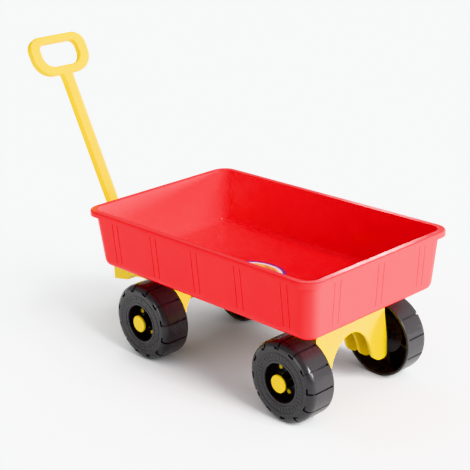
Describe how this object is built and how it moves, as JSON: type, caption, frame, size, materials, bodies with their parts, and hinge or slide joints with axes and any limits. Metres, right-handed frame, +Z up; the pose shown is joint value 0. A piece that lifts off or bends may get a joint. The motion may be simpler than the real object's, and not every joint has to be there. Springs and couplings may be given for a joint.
{
  "type": "pull wagon",
  "caption": "Child's pull wagon: open rounded tub on arched wheel carriers, hollow treaded wheels, steered front carrier with drawbar and a folding loop-grip handle.",
  "frame": {"origin": "centre of the footprint on the floor, at the middle of the whole bounding box", "axes": "+X forward towards the handle, +Y to the wagon's left, +Z up"},
  "size_m": [0.8692, 0.35, 0.5312],
  "materials": {
    "red_plastic": "glossy injection-moulded polypropylene",
    "yellow_plastic": "satin injection-moulded polypropylene",
    "black_plastic": "semi-gloss moulded black plastic",
    "label_film": null,
    "zinc_steel": "zinc plated",
    "natural_nylon": "natural nylon"
  },
  "bodies": {
    "chassis": {"tub": "red_plastic", "floor_label": "label_film", "rear_carrier": "yellow_plastic", "rear_carrier_screws": "zinc_steel", "bolster": "yellow_plastic", "bolster_screws": "zinc_steel", "kingpin": "zinc_steel", "thrust_ring": "natural_nylon", "pivot_washer": "zinc_steel", "pivot_nut": "zinc_steel", "rear_axle_pin_left": "yellow_plastic", "rear_axle_pin_right": "yellow_plastic"},
    "steering": {"front_carrier": "yellow_plastic", "drawbar": "yellow_plastic", "drawbar_screws": "zinc_steel", "handle_pin": "yellow_plastic", "handle_pin_cap": "yellow_plastic", "front_axle_pin_left": "yellow_plastic", "front_axle_pin_right": "yellow_plastic"},
    "pull_handle": {"handle": "yellow_plastic"},
    "rear_wheel_left": {"rear_wheel_left": "black_plastic", "rear_wheel_bush_left": "natural_nylon"},
    "rear_wheel_right": {"rear_wheel_right": "black_plastic", "rear_wheel_bush_right": "natural_nylon"},
    "front_wheel_left": {"front_wheel_left": "black_plastic", "front_wheel_bush_left": "natural_nylon"},
    "front_wheel_right": {"front_wheel_right": "black_plastic", "front_wheel_bush_right": "natural_nylon"}
  },
  "joints": [
    {"name": "steering", "type": "hinge", "parent": "chassis", "child": "steering", "pos_m": [0.01642, 0, 0.155], "axis": [0, 0, 1], "range_deg": [-35, 35]},
    {"name": "handle_fold", "type": "hinge", "parent": "steering", "child": "pull_handle", "pos_m": [0.20642, 0, 0.092], "axis": [0, 1, 0], "range_deg": [-35, 63]},
    {"name": "rear_left_wheel_spin", "type": "hinge", "parent": "chassis", "child": "rear_wheel_left", "pos_m": [-0.33758, 0.1206, 0.0715], "axis": [0, 1, 0], "continuous": true},
    {"name": "rear_right_wheel_spin", "type": "hinge", "parent": "chassis", "child": "rear_wheel_right", "pos_m": [-0.33758, -0.1206, 0.0715], "axis": [0, 1, 0], "continuous": true},
    {"name": "front_left_wheel_spin", "type": "hinge", "parent": "steering", "child": "front_wheel_left", "pos_m": [0.01642, 0.1206, 0.0715], "axis": [0, 1, 0], "continuous": true},
    {"name": "front_right_wheel_spin", "type": "hinge", "parent": "steering", "child": "front_wheel_right", "pos_m": [0.01642, -0.1206, 0.0715], "axis": [0, 1, 0], "continuous": true}
  ]
}
